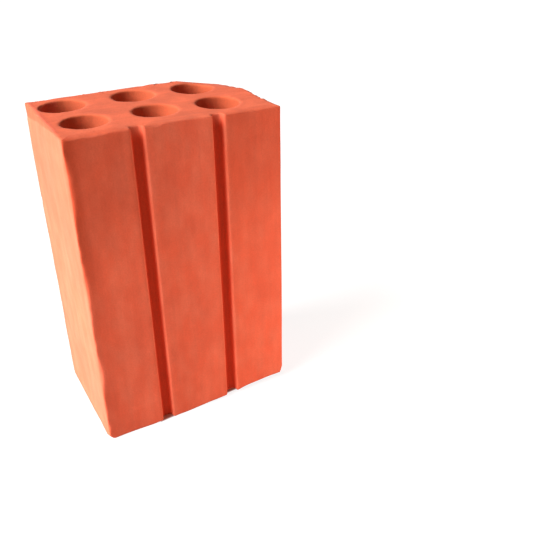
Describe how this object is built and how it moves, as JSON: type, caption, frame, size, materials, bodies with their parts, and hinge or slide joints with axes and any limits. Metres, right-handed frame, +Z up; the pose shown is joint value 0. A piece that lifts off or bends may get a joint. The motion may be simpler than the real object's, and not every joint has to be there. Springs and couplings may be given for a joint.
{
  "type": "clay brick",
  "caption": "Upright block of fired red clay with round through cores, rounded keying grooves down its wide faces and combing down one narrow face.",
  "frame": {"origin": "centre of the lower cut end's bounding box, on the surface that the brick stands on", "axes": "+Z up along the cores, from the lower cut end to the upper one; X across the wide faces, which face -Y and +Y; Y across the narrow faces, which face -X and +X"},
  "size_m": [0.115, 0.075, 0.178],
  "materials": {
    "fired_clay": "matt fired red clay, slightly sandy, with drag marks on the cut ends"
  },
  "bodies": {
    "root": {"brick_body": "fired_clay"}
  },
  "joints": []
}
